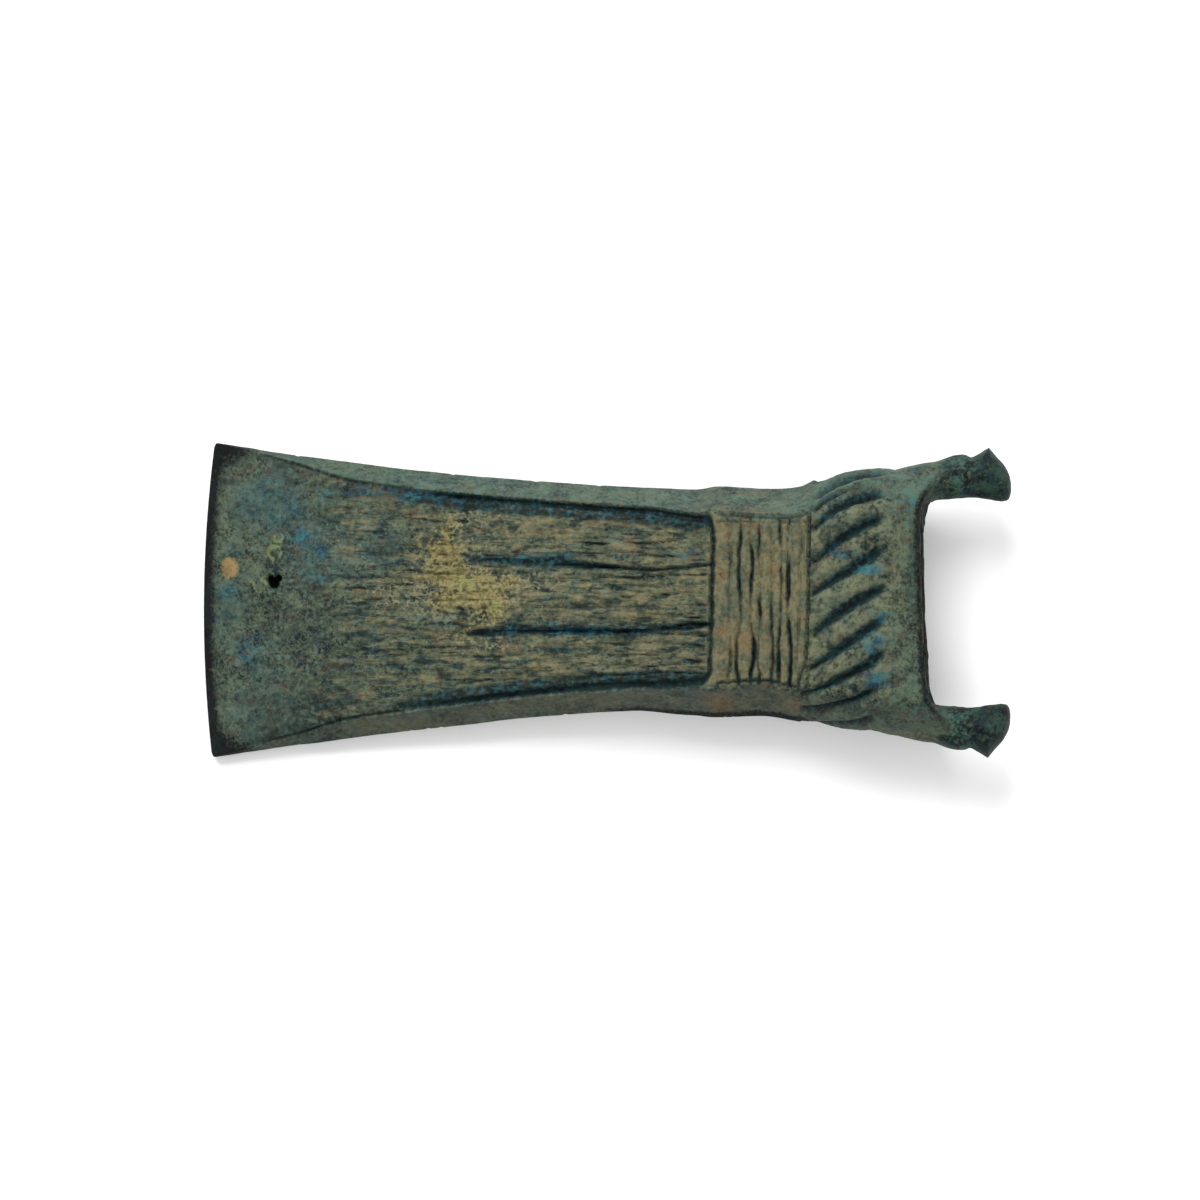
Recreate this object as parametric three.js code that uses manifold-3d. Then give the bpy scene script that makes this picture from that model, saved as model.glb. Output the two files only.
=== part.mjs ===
// A cast bronze socketed axe head, in millimetres. A wedge-shaped blade with sloping sides swells into a corded
// band and a rope-like collar. The collar's mouth takes the haft, and two horns with flared ends stand beside it.
// The casting is symmetric about the plane between its two mould halves, and lies on one of its broad faces.

import * as THREE from 'three'
import { mergeVertices } from 'three/addons/utils/BufferGeometryUtils.js'
import Module from 'manifold-3d'

const wasm = await Module()
wasm.setup()

const { clamp, degToRad, lerp, mapLinear, smoothstep } = THREE.MathUtils

// Lengths along the axe, from the cutting edge to the tips of the horns.
const EDGE_BEVEL = 1.7
const BLADE_LENGTH = 95.6
const BAND_LENGTH = 17.2
const COLLAR_LENGTH = 15.5
const LIP_LENGTH = 6.2
const HORN_REACH = 15.6
const COLLAR_START = BLADE_LENGTH + BAND_LENGTH
const COLLAR_END = COLLAR_START + COLLAR_LENGTH
const MOUTH_AT = COLLAR_END + LIP_LENGTH
const TOTAL_LENGTH = MOUTH_AT + HORN_REACH

// Widths of the outline, and how the blade flares from its waist to the cutting edge.
const EDGE_WIDTH = 58.6
const WAIST_WIDTH = 41.4
const WAIST_TO_BAND = 13.6
const FLARE_POWER = 1.42
const BAND_WIDTH = 42.9
const NECK_WIDTH = 42.1
const COLLAR_WIDTH = 48.7
const MOUTH_WIDTH = 51.2
const EDGE_BOW = 1.7
const BOW_FADE = 30
const CORNER_ROUND = 1.2
const WAIST_AT = BLADE_LENGTH - WAIST_TO_BAND

// Thicknesses across both faces.
const EDGE_THICKNESS = 0.6
const BEVEL_THICKNESS = 2.5
const WAIST_THICKNESS = 14.4
const BAND_THICKNESS = 16.8
const NECK_THICKNESS = 17
const COLLAR_THICKNESS = 22.2
const MOUTH_THICKNESS = 20.6
const FACE_CROWN = 0.5

// The collar's bulge: where it crests, how gently it starts and how much of it stands at either end of that start.
const COLLAR_CREST = 0.65
const COLLAR_ROUND = 2
const FOOT_SHARE = 0.12
const SHOULDER_SHARE = 0.58

// The sloping sides as the face shows them, and how far they swell into the round collar.
const SIDE_START = 1.1
const SIDE_AT_PANEL = 3.3
const SIDE_AT_WAIST = 3.8
const SIDE_AT_BAND = 5.2
const SIDE_AT_MOUTH = 5.7
const COLLAR_SWELL = 1.5
const MOUTH_SWELL = 0.75

// The sway of the outline, towards one side before the waist and towards the other at the neck.
const WAIST_SWAY = { before: 6, by: 0.55, reach: 14 }
const NECK_SWAY = { by: 0.5, reach: 7 }

// The socket: its walls, its depth, how far its corners slope in and the shallow bow of its mouth.
const FACE_WALL = 3.2
const SIDE_WALL = 7.1
const SOCKET_DEPTH = 60
const SOCKET_CORNER = 0.58
const MOUTH_BOW = 1.1

// The horns: the arm that grows out of each side of the collar, its ring, and the flared knob at its end.
const HORN_WIDTH = 7.3
const HORN_ROOT_HEIGHT = 10.6
const HORN_NECK_HEIGHT = 7.6
const HORN_ROOT = 11
const HORN_ROOT_SHARE = 0.75
const HORN_SPLAY = degToRad(7)
const RING = { at: 6, rise: 0.35, reach: 1.1 }
const NECK_AT = 8.2
const KNOB_TILT = degToRad(14.4)
const KNOB_DIAMETER = 10.5
const KNOB_DOME = 2.6
const KNOB_FLARE = 5.2
const KNOB_FLARE_POWER = 2.2

// Carved lines: where they run, how wide and how deep they are.
const PANEL_START = 30
const MARGIN_INSET = 1.2
const MARGIN_GROOVE = { width: 1.9, depth: 1.25 }
const RIB_GROOVES = [
  { start: 48, from: 6.9, to: 6.4, width: 1.5, depth: 0.95 },
  { start: 45, from: -6.7, to: -4.7, width: 1.5, depth: 1.05 },
]
const CROSS_GROOVE = { width: 1.2, depth: 0.9 }
const CORD_GROOVE = { width: 0.9, depth: 0.5 }
const CORD_PITCH = 2.1
const CORD_COUNT = 5
const ROPE_GROOVE = { width: 1.9, depth: 1.15 }
const ROPE_STRANDS = 18
const ROPE_SLANT = 0.072
const ROPE_INSET = 0.9
const LINE_TIP = 0.12

// The casting pore near the edge, and the depth of the worn flats that the axe lies on.
const PORE = { at: 13, side: 3.4, length: 2.1, width: 1.8, depth: 2 }
const REST_FLAT = 0.2

// How finely the forms are faceted.
const FACET_STEPS = 3
const FACE_STEPS = 3
const HORN_SIDES = 14
const LINE_SIDES = 6

const PATINA = new THREE.MeshStandardMaterial({ color: 0x5b6350, roughness: 0.72, metalness: 0.35 })

// A smooth curve through [place, value] knots that never overshoots them.
function through(knots) {
  const slopes = knots.slice(1).map(([x, y], i) => (y - knots[i][1]) / (x - knots[i][0]))
  const tangents = knots.map((_, i) => {
    if (i === 0 || i === knots.length - 1) return slopes[Math.min(i, slopes.length - 1)]
    const [before, after] = [slopes[i - 1], slopes[i]]
    return before * after > 0 ? (2 * before * after) / (before + after) : 0
  })
  return (x) => {
    const next = knots.findIndex(([place]) => place >= x)
    if (next === 0) return knots[0][1]
    if (next < 0) return knots.at(-1)[1]
    const [[from, low], [to, high]] = [knots[next - 1], knots[next]]
    const t = (x - from) / (to - from)
    const leave = tangents[next - 1] * (to - from) - (high - low)
    const arrive = high - low - tangents[next] * (to - from)
    return lerp(low, high, t) + t * (1 - t) * lerp(leave, arrive, t)
  }
}

// A smooth hump of height 1 about a centre.
function hump(x, centre, reach) {
  return Math.exp(-(((x - centre) / reach) ** 2))
}

// Places along the axe, spaced evenly within each [from, to, count] stretch.
function stations(...stretches) {
  const places = stretches.flatMap(([from, to, count]) =>
    Array.from({ length: count }, (_, i) => lerp(from, to, i / count)))
  return [...places, stretches.at(-1)[1]]
}

function circle(count, point) {
  return Array.from({ length: count }, (_, i) => {
    const angle = (2 * Math.PI * i) / count
    return point(Math.cos(angle), Math.sin(angle))
  })
}

const NECK_CENTRE = (BLADE_LENGTH + COLLAR_START) / 2
const CREST_AT = COLLAR_START + COLLAR_CREST * COLLAR_LENGTH

// A measure of the cross-section from the waist to the mouth, rounding out where the collar starts.
function upperProfile(waist, band, neck, collar, mouth) {
  return through([
    [WAIST_AT, waist],
    [BLADE_LENGTH, band],
    [NECK_CENTRE, neck],
    [COLLAR_START - COLLAR_ROUND, lerp(neck, collar, FOOT_SHARE)],
    [COLLAR_START + COLLAR_ROUND, lerp(neck, collar, SHOULDER_SHARE)],
    [CREST_AT, collar],
    [MOUTH_AT, mouth],
  ])
}

const upperWidth = upperProfile(WAIST_WIDTH, BAND_WIDTH, NECK_WIDTH, COLLAR_WIDTH, MOUTH_WIDTH)
const upperThickness =
  upperProfile(WAIST_THICKNESS, BAND_THICKNESS, NECK_THICKNESS, COLLAR_THICKNESS, MOUTH_THICKNESS)
const sideSlope = through([
  [0, 0],
  [PANEL_START / 2, SIDE_START],
  [PANEL_START, SIDE_AT_PANEL],
  [WAIST_AT, SIDE_AT_WAIST],
  [BLADE_LENGTH, SIDE_AT_BAND],
  [MOUTH_AT, SIDE_AT_MOUTH],
])
const swell = through([
  [COLLAR_START - COLLAR_ROUND, 0],
  [CREST_AT, COLLAR_SWELL],
  [MOUTH_AT, MOUTH_SWELL],
])

function halfWidth(s) {
  if (s >= WAIST_AT) return upperWidth(s) / 2
  const flare = lerp(WAIST_WIDTH, EDGE_WIDTH, (1 - s / WAIST_AT) ** FLARE_POWER)
  const inCorner = Math.max(0, 1 - s / CORNER_ROUND)
  return flare / 2 - CORNER_ROUND * (1 - Math.sqrt(1 - inCorner ** 2))
}

function halfThickness(s) {
  if (s >= WAIST_AT) return upperThickness(s) / 2
  if (s >= EDGE_BEVEL) return mapLinear(s, EDGE_BEVEL, WAIST_AT, BEVEL_THICKNESS, WAIST_THICKNESS) / 2
  return mapLinear(s, 0, EDGE_BEVEL, EDGE_THICKNESS, BEVEL_THICKNESS) / 2
}

function faceHalf(s) {
  return halfWidth(s) - sideSlope(s)
}

function faceHeight(s, y) {
  return halfThickness(s) - FACE_CROWN * clamp(s / PANEL_START, 0, 1) * (y / faceHalf(s)) ** 2
}

function sway(s) {
  const towards = WAIST_SWAY.by * hump(s, WAIST_AT - WAIST_SWAY.before, WAIST_SWAY.reach)
  return towards - NECK_SWAY.by * hump(s, NECK_CENTRE, NECK_SWAY.reach)
}

// The bow of the cutting edge and of the mouth, as a shift along the axe.
function bow(s, y) {
  const across = (y / halfWidth(s)) ** 2
  const edge = EDGE_BOW * across * Math.max(0, 1 - s / BOW_FADE) ** 2
  const mouth = MOUTH_BOW * (1 - across) * smoothstep(s, COLLAR_END, MOUTH_AT)
  return edge - mouth
}

// One cross-section, from the seam on one side over the upper face to the other seam and back underneath.
function section(s) {
  const face = faceHalf(s)
  const seam = new THREE.Vector2(halfWidth(s), 0)
  const shoulder = new THREE.Vector2(face, faceHeight(s, face))
  const slant = shoulder.clone().sub(seam)
  const outwards = new THREE.Vector2(slant.y, -slant.x).normalize()
  const side = stations([0, 1, FACET_STEPS]).slice(0, -1).map((t) =>
    seam.clone().lerp(shoulder, t).addScaledVector(outwards, 4 * t * (1 - t) * swell(s)))
  const front = stations([face, 0, FACE_STEPS]).map((y) => new THREE.Vector2(y, faceHeight(s, y)))
  const quarter = [...side, ...front]
  const over = [...quarter, ...quarter.slice(0, -1).reverse().map(({ x, y }) => new THREE.Vector2(-x, y))]
  const under = over.slice(1, -1).reverse().map(({ x, y }) => new THREE.Vector2(x, -y))
  return [...over, ...under].map(({ x, y }) => new THREE.Vector3(s + bow(s, x), x + sway(s), y))
}

// A closed geometry as a solid that can be joined and cut, with its faces pointing out.
function solid(geometry) {
  const bare = geometry.clone()
  bare.deleteAttribute('normal')
  bare.deleteAttribute('uv')
  const merged = mergeVertices(bare)
  const corners = new Float32Array(merged.attributes.position.array)
  const triangles = new Uint32Array(merged.index.array)
  const made = new wasm.Manifold(new wasm.Mesh({ numProp: 3, vertProperties: corners, triVerts: triangles }))
  if (made.volume() > 0) return made
  const turned = new wasm.Mesh({ numProp: 3, vertProperties: corners, triVerts: triangles.reverse() })
  return new wasm.Manifold(turned)
}

// Joins rings of equally many points into one closed body.
function loft(rings) {
  const count = rings[0].length
  const points = rings.flat()
  const index = []
  for (let first = 0; first + count < points.length; first += count) {
    for (let i = 0; i < count; i++) {
      const [a, b] = [first + i, first + ((i + 1) % count)]
      index.push(a, b, b + count, a, b + count, a + count)
    }
  }
  const lastRing = points.length - count
  const [start, end] = [rings[0], rings.at(-1)].map((ring) =>
    points.push(ring.reduce((sum, p) => sum.add(p), new THREE.Vector3()).divideScalar(count)) - 1)
  for (let i = 0; i < count; i++) {
    const next = (i + 1) % count
    index.push(start, next, i, end, lastRing + i, lastRing + next)
  }
  const geometry = new THREE.BufferGeometry().setFromPoints(points)
  geometry.setIndex(index)
  return solid(geometry)
}

function join(solids) {
  return solids.reduce((whole, next) => whole.add(next))
}

function body() {
  const places = stations(
    [0, EDGE_BEVEL, 3],
    [EDGE_BEVEL, PANEL_START, 6],
    [PANEL_START, BLADE_LENGTH, 10],
    [BLADE_LENGTH, COLLAR_START - 2 * COLLAR_ROUND, 4],
    [COLLAR_START - 2 * COLLAR_ROUND, COLLAR_END, 8],
    [COLLAR_END, MOUTH_AT, 3],
  )
  return loft(places.map(section))
}

// The haft's socket, tapering from beyond the mouth to a flat floor.
function socket() {
  const floor = MOUTH_AT - SOCKET_DEPTH
  const size = (s) => [halfWidth(s) - SIDE_WALL, halfThickness(s) - FACE_WALL]
  const [[deepAcross, deepHigh], [mouthAcross, mouthHigh]] = [size(floor), size(MOUTH_AT)]
  return loft([floor, MOUTH_AT + LIP_LENGTH].map((s) => {
    const across = mapLinear(s, floor, MOUTH_AT, deepAcross, mouthAcross)
    const high = mapLinear(s, floor, MOUTH_AT, deepHigh, mouthHigh)
    const corner = across - SOCKET_CORNER * high
    const outline = [[across, 0], [corner, high], [-corner, high], [-across, 0], [-corner, -high], [corner, -high]]
    return outline.map(([y, z]) => new THREE.Vector3(s, y, z))
  }))
}

function hornCentre(s) {
  return (MOUTH_WIDTH - HORN_WIDTH) / 2 + Math.tan(HORN_SPLAY) * (s - MOUTH_AT)
}

// The arm of a horn, from inside the collar's side to its neck, with a ring that stands out on the outer side.
function hornArm(hand) {
  const [root, ring, neck] = [MOUTH_AT - HORN_ROOT, MOUTH_AT + RING.at, MOUTH_AT + NECK_AT]
  const width = through([[root, HORN_ROOT_SHARE * HORN_WIDTH], [MOUTH_AT, HORN_WIDTH], [neck, HORN_WIDTH]])
  const height = through([[root, HORN_ROOT_SHARE * HORN_ROOT_HEIGHT], [MOUTH_AT, HORN_ROOT_HEIGHT],
    [neck, HORN_NECK_HEIGHT]])
  const places = stations(
    [root, MOUTH_AT, 3],
    [MOUTH_AT, ring - RING.reach, 2],
    [ring - RING.reach, ring + RING.reach, 4],
    [ring + RING.reach, neck + RING.reach, 2],
  )
  return loft(places.map((s) => {
    const rise = RING.rise * hump(s, ring, RING.reach)
    return circle(HORN_SIDES, (cos, sin) => {
      const across = hornCentre(s) + rise + (width(s) / 2 + rise) * cos
      return new THREE.Vector3(s, hand * across, (height(s) / 2 + rise) * sin)
    })
  }))
}

// The flared knob: a trumpet that ends in a sharp rim and a low dome, turned about its own tilted axis.
function knob(hand) {
  const [rim, neck] = [KNOB_DIAMETER / 2, HORN_WIDTH / 2]
  const domeRadius = (rim ** 2 + KNOB_DOME ** 2) / (2 * KNOB_DOME)
  const domeAngle = Math.asin(rim / domeRadius)
  const flare = stations([0, 1, 4]).map((t) =>
    new THREE.Vector2(lerp(neck, rim, t ** KNOB_FLARE_POWER), -KNOB_FLARE * (1 - t)))
  const dome = stations([domeAngle, 0, 4]).slice(1).map((angle) =>
    new THREE.Vector2(domeRadius * Math.sin(angle), KNOB_DOME - domeRadius * (1 - Math.cos(angle))))
  const profile = [new THREE.Vector2(0, -KNOB_FLARE), ...flare, ...dome]
  const turned = new THREE.LatheGeometry(profile, HORN_SIDES)
  const rimAt = TOTAL_LENGTH - KNOB_DOME
  turned.rotateZ(KNOB_TILT - Math.PI / 2)
  turned.translate(rimAt, hornCentre(rimAt), 0)
  turned.scale(1, hand, 1)
  return solid(turned)
}

// A cutter for one carved line, a round bar half sunk along a path on the surface. Its taper thins it out.
function line(path, { width, depth }, taper = () => 1) {
  const last = path.length - 1
  return loft(path.map(({ point, normal }, i) => {
    const share = Math.max(LINE_TIP, taper(i / last))
    const radius = share * (depth ** 2 + (width / 2) ** 2) / (2 * depth)
    const along = path[Math.min(last, i + 1)].point.clone().sub(path[Math.max(0, i - 1)].point).normalize()
    const across = along.clone().cross(normal).normalize()
    const up = across.clone().cross(along).normalize()
    const centre = point.clone().addScaledVector(normal, radius - share * depth)
    return circle(LINE_SIDES, (cos, sin) =>
      centre.clone().addScaledVector(across, radius * cos).addScaledVector(up, radius * sin))
  }))
}

const spindle = (t) => Math.sin(Math.PI * lerp(LINE_TIP, 1 - LINE_TIP, t)) ** 0.6
const fadeIn = (t) => Math.min(1, LINE_TIP + 2.5 * t)

// A point of the upper face, or of the lower one where side is -1.
function onFace(s, y, side) {
  return {
    point: new THREE.Vector3(s + bow(s, y), y + sway(s), side * faceHeight(s, y)),
    normal: new THREE.Vector3(0, 0, side),
  }
}

// The lines of one face: a deep groove inside each side of the panel, two long grooves that part its ribs,
// the line that crosses at the band, the cords of the band and the line where the collar starts.
function faceLines(side) {
  const panel = stations([PANEL_START, BLADE_LENGTH, 9])
  const margins = [1, -1].map((hand) =>
    line(panel.map((s) => onFace(s, hand * (faceHalf(s) - MARGIN_INSET), side)), MARGIN_GROOVE, fadeIn))
  const ribs = RIB_GROOVES.map(({ start, from, to, width, depth }) => {
    const places = stations([start, BLADE_LENGTH, 5])
    const across = (s) => mapLinear(s, start, BLADE_LENGTH, from, to)
    return line(places.map((s) => onFace(s, across(s), side)), { width, depth }, fadeIn)
  })
  const crossing = (s, inset) => stations([-1, 1, 4]).map((t) => onFace(s, t * (faceHalf(s) - inset), side))
  const cords = Array.from({ length: CORD_COUNT }, (_, i) =>
    line(crossing(COLLAR_START - CORD_PITCH * (i + 1.6), MARGIN_INSET), CORD_GROOVE))
  const ends = [BLADE_LENGTH, COLLAR_START].map((s) => line(crossing(s, MARGIN_INSET / 2), CROSS_GROOVE))
  return [...margins, ...ribs, ...cords, ...ends]
}

// A point on the girth of the axe, as a share of the way round from one seam.
function onGirth(s, share) {
  const outline = new THREE.CurvePath()
  section(s).forEach((p, i, ring) => outline.add(new THREE.LineCurve3(p, ring[(i + 1) % ring.length])))
  const at = (turn) => outline.getPointAt(turn - Math.floor(turn))
  const ways = at(share + 0.012).sub(at(share - 0.012))
  return { point: at(share), normal: new THREE.Vector3(0, ways.z, -ways.y).normalize() }
}

// The slanting lines that part the strands of the rope, all the way round the collar.
function ropeLines() {
  const places = stations([COLLAR_START + ROPE_INSET, COLLAR_END - ROPE_INSET, 5])
  return Array.from({ length: ROPE_STRANDS }, (_, k) => {
    const start = (k + 0.5) / ROPE_STRANDS
    return line(places.map((s, i) => onGirth(s, start - ROPE_SLANT * i / (places.length - 1))), ROPE_GROOVE, spindle)
  })
}

// A pore left by a gas bubble in the casting, open to the upper face.
function pore() {
  const shape = new THREE.ConeGeometry(PORE.length / 2, PORE.depth, 7)
  shape.rotateX(-Math.PI / 2)
  shape.scale(1, PORE.width / PORE.length, 2)
  shape.translate(PORE.at, PORE.side, faceHeight(PORE.at, PORE.side))
  return solid(shape)
}

function lowest(turn, places) {
  return Math.min(...places.map((s) => Math.sin(turn) * s - Math.cos(turn) * halfThickness(s)))
}

// How far the axe turns about Y for its blade and its collar to touch the ground together.
function restTurn(places) {
  const [blade, collar] = [places.filter((s) => s < WAIST_AT), places.filter((s) => s >= WAIST_AT)]
  let [low, high] = [0, Math.PI / 4]
  for (let i = 0; i < 40; i++) {
    const turn = (low + high) / 2
    if (lowest(turn, blade) < lowest(turn, collar)) high = turn
    else low = turn
  }
  return low
}

// The ground under the lying axe, raised by the worn flats, in the frame of the axe before it is laid down.
function ground(turn, places) {
  const block = new THREE.BoxGeometry(3 * TOTAL_LENGTH, 3 * EDGE_WIDTH, COLLAR_THICKNESS)
  block.translate(0, 0, lowest(turn, places) + REST_FLAT - COLLAR_THICKNESS / 2)
  block.rotateY(turn)
  return solid(block)
}

function cast(turn, places) {
  const metal = [body(), hornArm(1), hornArm(-1), knob(1), knob(-1)]
  const cuts = [socket(), ...faceLines(1), ...faceLines(-1), ...ropeLines(), pore(), ground(turn, places)]
  return join(metal).subtract(join(cuts))
}

function meshOf(whole, name, material) {
  const { vertProperties, triVerts } = whole.getMesh()
  const geometry = new THREE.BufferGeometry()
  geometry.setAttribute('position', new THREE.BufferAttribute(vertProperties, 3))
  geometry.setIndex(new THREE.BufferAttribute(triVerts, 1))
  geometry.computeVertexNormals()
  const mesh = new THREE.Mesh(geometry, material)
  mesh.name = name
  return mesh
}

const places = stations([0, MOUTH_AT, 200])
const turn = restTurn(places)
const head = meshOf(cast(turn, places), 'axe_head', PATINA)
head.rotation.y = -turn

// The origin is on the ground, under the middle of the lying axe.
const { min, max } = new THREE.Box3().setFromObject(head, true)
head.position.set(-(min.x + max.x) / 2, -(min.y + max.y) / 2, -min.z)

const axe = new THREE.Group()
axe.add(head)

export default axe
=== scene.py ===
import math

import bpy
import numpy as np
from mathutils import Matrix, Vector, noise


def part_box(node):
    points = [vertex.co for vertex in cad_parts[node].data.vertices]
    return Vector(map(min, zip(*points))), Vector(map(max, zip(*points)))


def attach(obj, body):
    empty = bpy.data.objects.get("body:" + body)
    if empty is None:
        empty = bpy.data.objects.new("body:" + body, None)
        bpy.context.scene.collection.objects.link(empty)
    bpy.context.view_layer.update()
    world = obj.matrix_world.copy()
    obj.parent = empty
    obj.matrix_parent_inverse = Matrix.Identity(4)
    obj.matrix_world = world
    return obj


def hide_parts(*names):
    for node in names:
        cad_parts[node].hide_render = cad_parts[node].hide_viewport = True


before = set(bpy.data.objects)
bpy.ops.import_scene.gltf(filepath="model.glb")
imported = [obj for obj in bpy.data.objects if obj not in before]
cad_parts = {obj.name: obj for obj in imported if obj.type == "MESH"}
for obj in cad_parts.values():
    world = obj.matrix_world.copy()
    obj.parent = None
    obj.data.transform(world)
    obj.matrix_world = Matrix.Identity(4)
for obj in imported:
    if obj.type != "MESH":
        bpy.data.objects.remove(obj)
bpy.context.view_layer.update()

# The skin of the casting: one pour of bronze, a wedge-shaped blade with sloping sides that swells into a
# band and a round collar. It is a sheet rolled up along the axe, from the cutting edge to the lip. Lengths
# are in millimetres from the edge (s), across (y) and up from the middle of the thickness (z).
MM = 0.001
EDGE_BEVEL = 1.7
CORNER_ROUND = 0.9
PANEL_START = 30.0
WAIST_AT = 82.0
BAND_START = 95.6
NECK_AT = 104.2
BAND_END = 110.8
COLLAR_FOOT = 114.8
CREST_AT = 122.9
MOUTH_AT = 134.5
EDGE_WIDTH = 58.8
WAIST_WIDTH = 41.4
FLARE_POWER = 1.38
EDGE_THICKNESS = 0.6
BEVEL_THICKNESS = 2.5
WAIST_THICKNESS = 14.4
FACE_CROWN = 0.5


def through(*knots):
    """A smooth curve through (place, value) knots that never overshoots them."""
    x, y = np.array(knots, float).T
    slope = np.diff(y) / np.diff(x)
    rising = slope[:-1] * slope[1:] > 0
    mean = 2 * slope[:-1] * slope[1:] / np.where(rising, slope[:-1] + slope[1:], 1)
    tangent = np.concatenate(([slope[0]], np.where(rising, mean, 0), [slope[-1]]))

    def curve(at):
        at = np.clip(at, x[0], x[-1])
        i = np.clip(np.searchsorted(x, at, side="right") - 1, 0, len(slope) - 1)
        span = (x[1:] - x[:-1])[i]
        climb = (y[1:] - y[:-1])[i]
        t = (at - x[i]) / span
        leave = tangent[i] * span - climb
        arrive = climb - tangent[i + 1] * span
        return y[i] + t * climb + t * (1 - t) * (leave * (1 - t) + arrive * t)

    return curve


upper_width = through((WAIST_AT, WAIST_WIDTH), (92, 42.0), (BAND_START, 42.9), (NECK_AT, 42.1),
                      (BAND_END, 43.4), (COLLAR_FOOT, 46), (CREST_AT, 48.4), (128.8, 49.2), (MOUTH_AT, 50.6))
upper_thickness = through((WAIST_AT, WAIST_THICKNESS), (BAND_START, 16.8), (NECK_AT, 17), (BAND_END, 17.6),
                          (COLLAR_FOOT, 20), (CREST_AT, 22.2), (MOUTH_AT, 20.6))
side_slope = through((0, 0), (PANEL_START / 2, 1.1), (PANEL_START, 3.3), (WAIST_AT, 3.8), (BAND_START, 5.2),
                     (MOUTH_AT, 5.7))
side_swell = through((BAND_END, 0), (CREST_AT, 1.5), (MOUTH_AT, 0.75))
sway = through((0, 0.1), (36, 0.1), (66, 0.45), (80, 0.5), (92, -0.12), (97, 0), (NECK_AT, -0.02),
               (110.3, -0.42), (119, 0.38), (125.5, 0.36), (128.8, -0.05), (MOUTH_AT, -0.2))


def half_width(s):
    flare = WAIST_WIDTH + (EDGE_WIDTH - WAIST_WIDTH) * np.clip(1 - s / WAIST_AT, 0, 1) ** FLARE_POWER
    corner = CORNER_ROUND * (1 - np.sqrt(1 - np.clip(1 - s / CORNER_ROUND, 0, 1) ** 2))
    return np.where(s < WAIST_AT, flare, upper_width(s)) / 2 - corner


def half_thickness(s):
    wedge = np.interp(s, (0, EDGE_BEVEL, WAIST_AT), (EDGE_THICKNESS, BEVEL_THICKNESS, WAIST_THICKNESS))
    return np.where(s < WAIST_AT, wedge, upper_thickness(s)) / 2


def spread(*stretches):
    """Places spaced evenly within each (from, to, count) stretch."""
    places = [np.linspace(low, high, count, endpoint=False) for low, high, count in stretches]
    return np.concatenate(places + [[stretches[-1][1]]])


# The rings of the sheet: dense where the casting is carved, then round the lip and in over the rim.
LIP_ROUND = 1.5
LIP_START = MOUTH_AT - LIP_ROUND
flank = spread((0, EDGE_BEVEL, 5), (EDGE_BEVEL, 11, 12), (11, 15, 16), (15, PANEL_START, 22),
               (PANEL_START, 94.4, 106), (94.4, 113.6, 84), (113.6, 129, 46), (129, LIP_START, 9))
lip_turn = np.linspace(0, math.pi / 2, 7)[1:]
rim_share = np.array([0.25, 0.5, 0.75, 1])
s = np.concatenate((flank, MOUTH_AT - LIP_ROUND * (1 - np.sin(lip_turn)), MOUTH_AT + 0 * rim_share))[:, None]
inset = np.concatenate((0 * flank, LIP_ROUND * (1 - np.cos(lip_turn)), LIP_ROUND + 0 * rim_share))[:, None]
rim = np.concatenate((0 * flank, 0 * lip_turn, rim_share))[:, None]

# The points round each ring, from the seam on the +Y side over the front: how far up the sloping side,
# how far across the face, and on which face.
SIDE_CELLS = 22
FRONT_CELLS = 112
BACK_CELLS = 62
up = np.linspace(0, 1, SIDE_CELLS, endpoint=False)
down = up[:0:-1]
over = np.linspace(1, -1, FRONT_CELLS + 1)
under = np.linspace(-1, 1, BACK_CELLS + 1)
climb = np.concatenate((up, np.ones_like(over), down, up, np.ones_like(under), down))
front_across = (np.ones_like(up), over, -np.ones_like(down))
back_across = (-np.ones_like(up), under, np.ones_like(down))
across = np.concatenate(front_across + back_across)
sides = len(up) + len(down)
front = np.repeat((1, -1), (sides + len(over), sides + len(under)))
on_face = climb == 1

# The size of each ring, and its points: flat sides that lean inwards and swell at the collar, and faces
# with a low crown. The walls are those of the socket at its mouth.
FACE_WALL = 3.2
SIDE_WALL = 7.1
RIM_GAP = 1


def narrowed(size, wall):
    """A half size of the rings: inset round the lip, then inside the socket's mouth by the end of the rim."""
    outer = size - inset
    return outer + rim * (size - wall - RIM_GAP - outer)


wide = narrowed(half_width(s), SIDE_WALL)
thick = narrowed(half_thickness(s), FACE_WALL)
face_half = narrowed(half_width(s) - side_slope(s), SIDE_WALL)
crown = FACE_CROWN * np.clip(s / PANEL_START, 0, 1)
shoulder = thick - crown
slant = np.hypot(wide - face_half, shoulder)
bulge = 4 * climb * (1 - climb) * side_swell(s) * (1 - rim)
side_y = wide + (face_half - wide) * climb + bulge * shoulder / slant
side_z = shoulder * climb + bulge * (wide - face_half) / slant
y = across * np.where(on_face, face_half, side_y)
z = front * np.where(on_face, thick - crown * across ** 2, side_z)

# The ends of the casting: the cutting edge is bowed, the mouth is hollowed and slightly askew, and its
# corners run out in tongues that lap over the roots of the horns.
EDGE_BOW = 1.7
BOW_FADE = 30
MOUTH_BOW = 0.5
MOUTH_SKEW = 0.04
COLLAR_END = 128.3
TONGUE_REACH = 4.4
TONGUE_SPLAY = 0.9
TONGUE_START = 129.5
TONGUE_INNER = (18.6, 22.6)
TONGUE_OUTER = (24, 25.6)
TONGUE_DROOP = 0.3


def rise(x, low, high):
    """0 before low and 1 after high, with a soft step between them."""
    t = np.clip((x - low) / (high - low), 0, 1)
    return t * t * (3 - 2 * t)


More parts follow.
